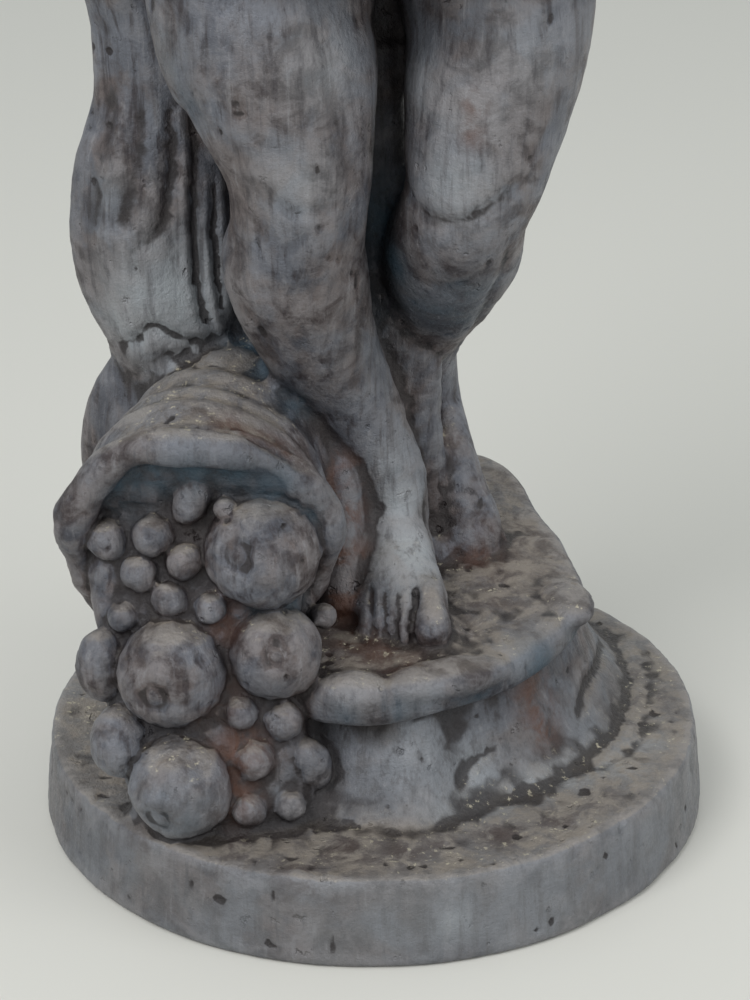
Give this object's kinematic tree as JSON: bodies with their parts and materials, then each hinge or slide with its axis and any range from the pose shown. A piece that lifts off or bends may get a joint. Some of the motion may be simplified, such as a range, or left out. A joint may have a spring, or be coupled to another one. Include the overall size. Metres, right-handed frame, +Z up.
{
  "type": "cast iron garden statue of a harvest figure",
  "caption": "Cast iron garden statue of a robed harvest figure standing on a rock slab beside a horn of plenty that spills fruit onto a round plinth.",
  "frame": {"origin": "centre of the round plinth's underside, on the ground", "axes": "+Z up along the figure's height, -Y the way the figure faces, +X to the figure's left"},
  "size_m": [0.3482, 0.36, 0.8838],
  "materials": {
    "cast_iron": "weathered dark grey iron, matt, with pale blue-grey worn patches and rust-brown in the crevices"
  },
  "bodies": {
    "root": {"statue": "cast_iron"}
  },
  "joints": []
}
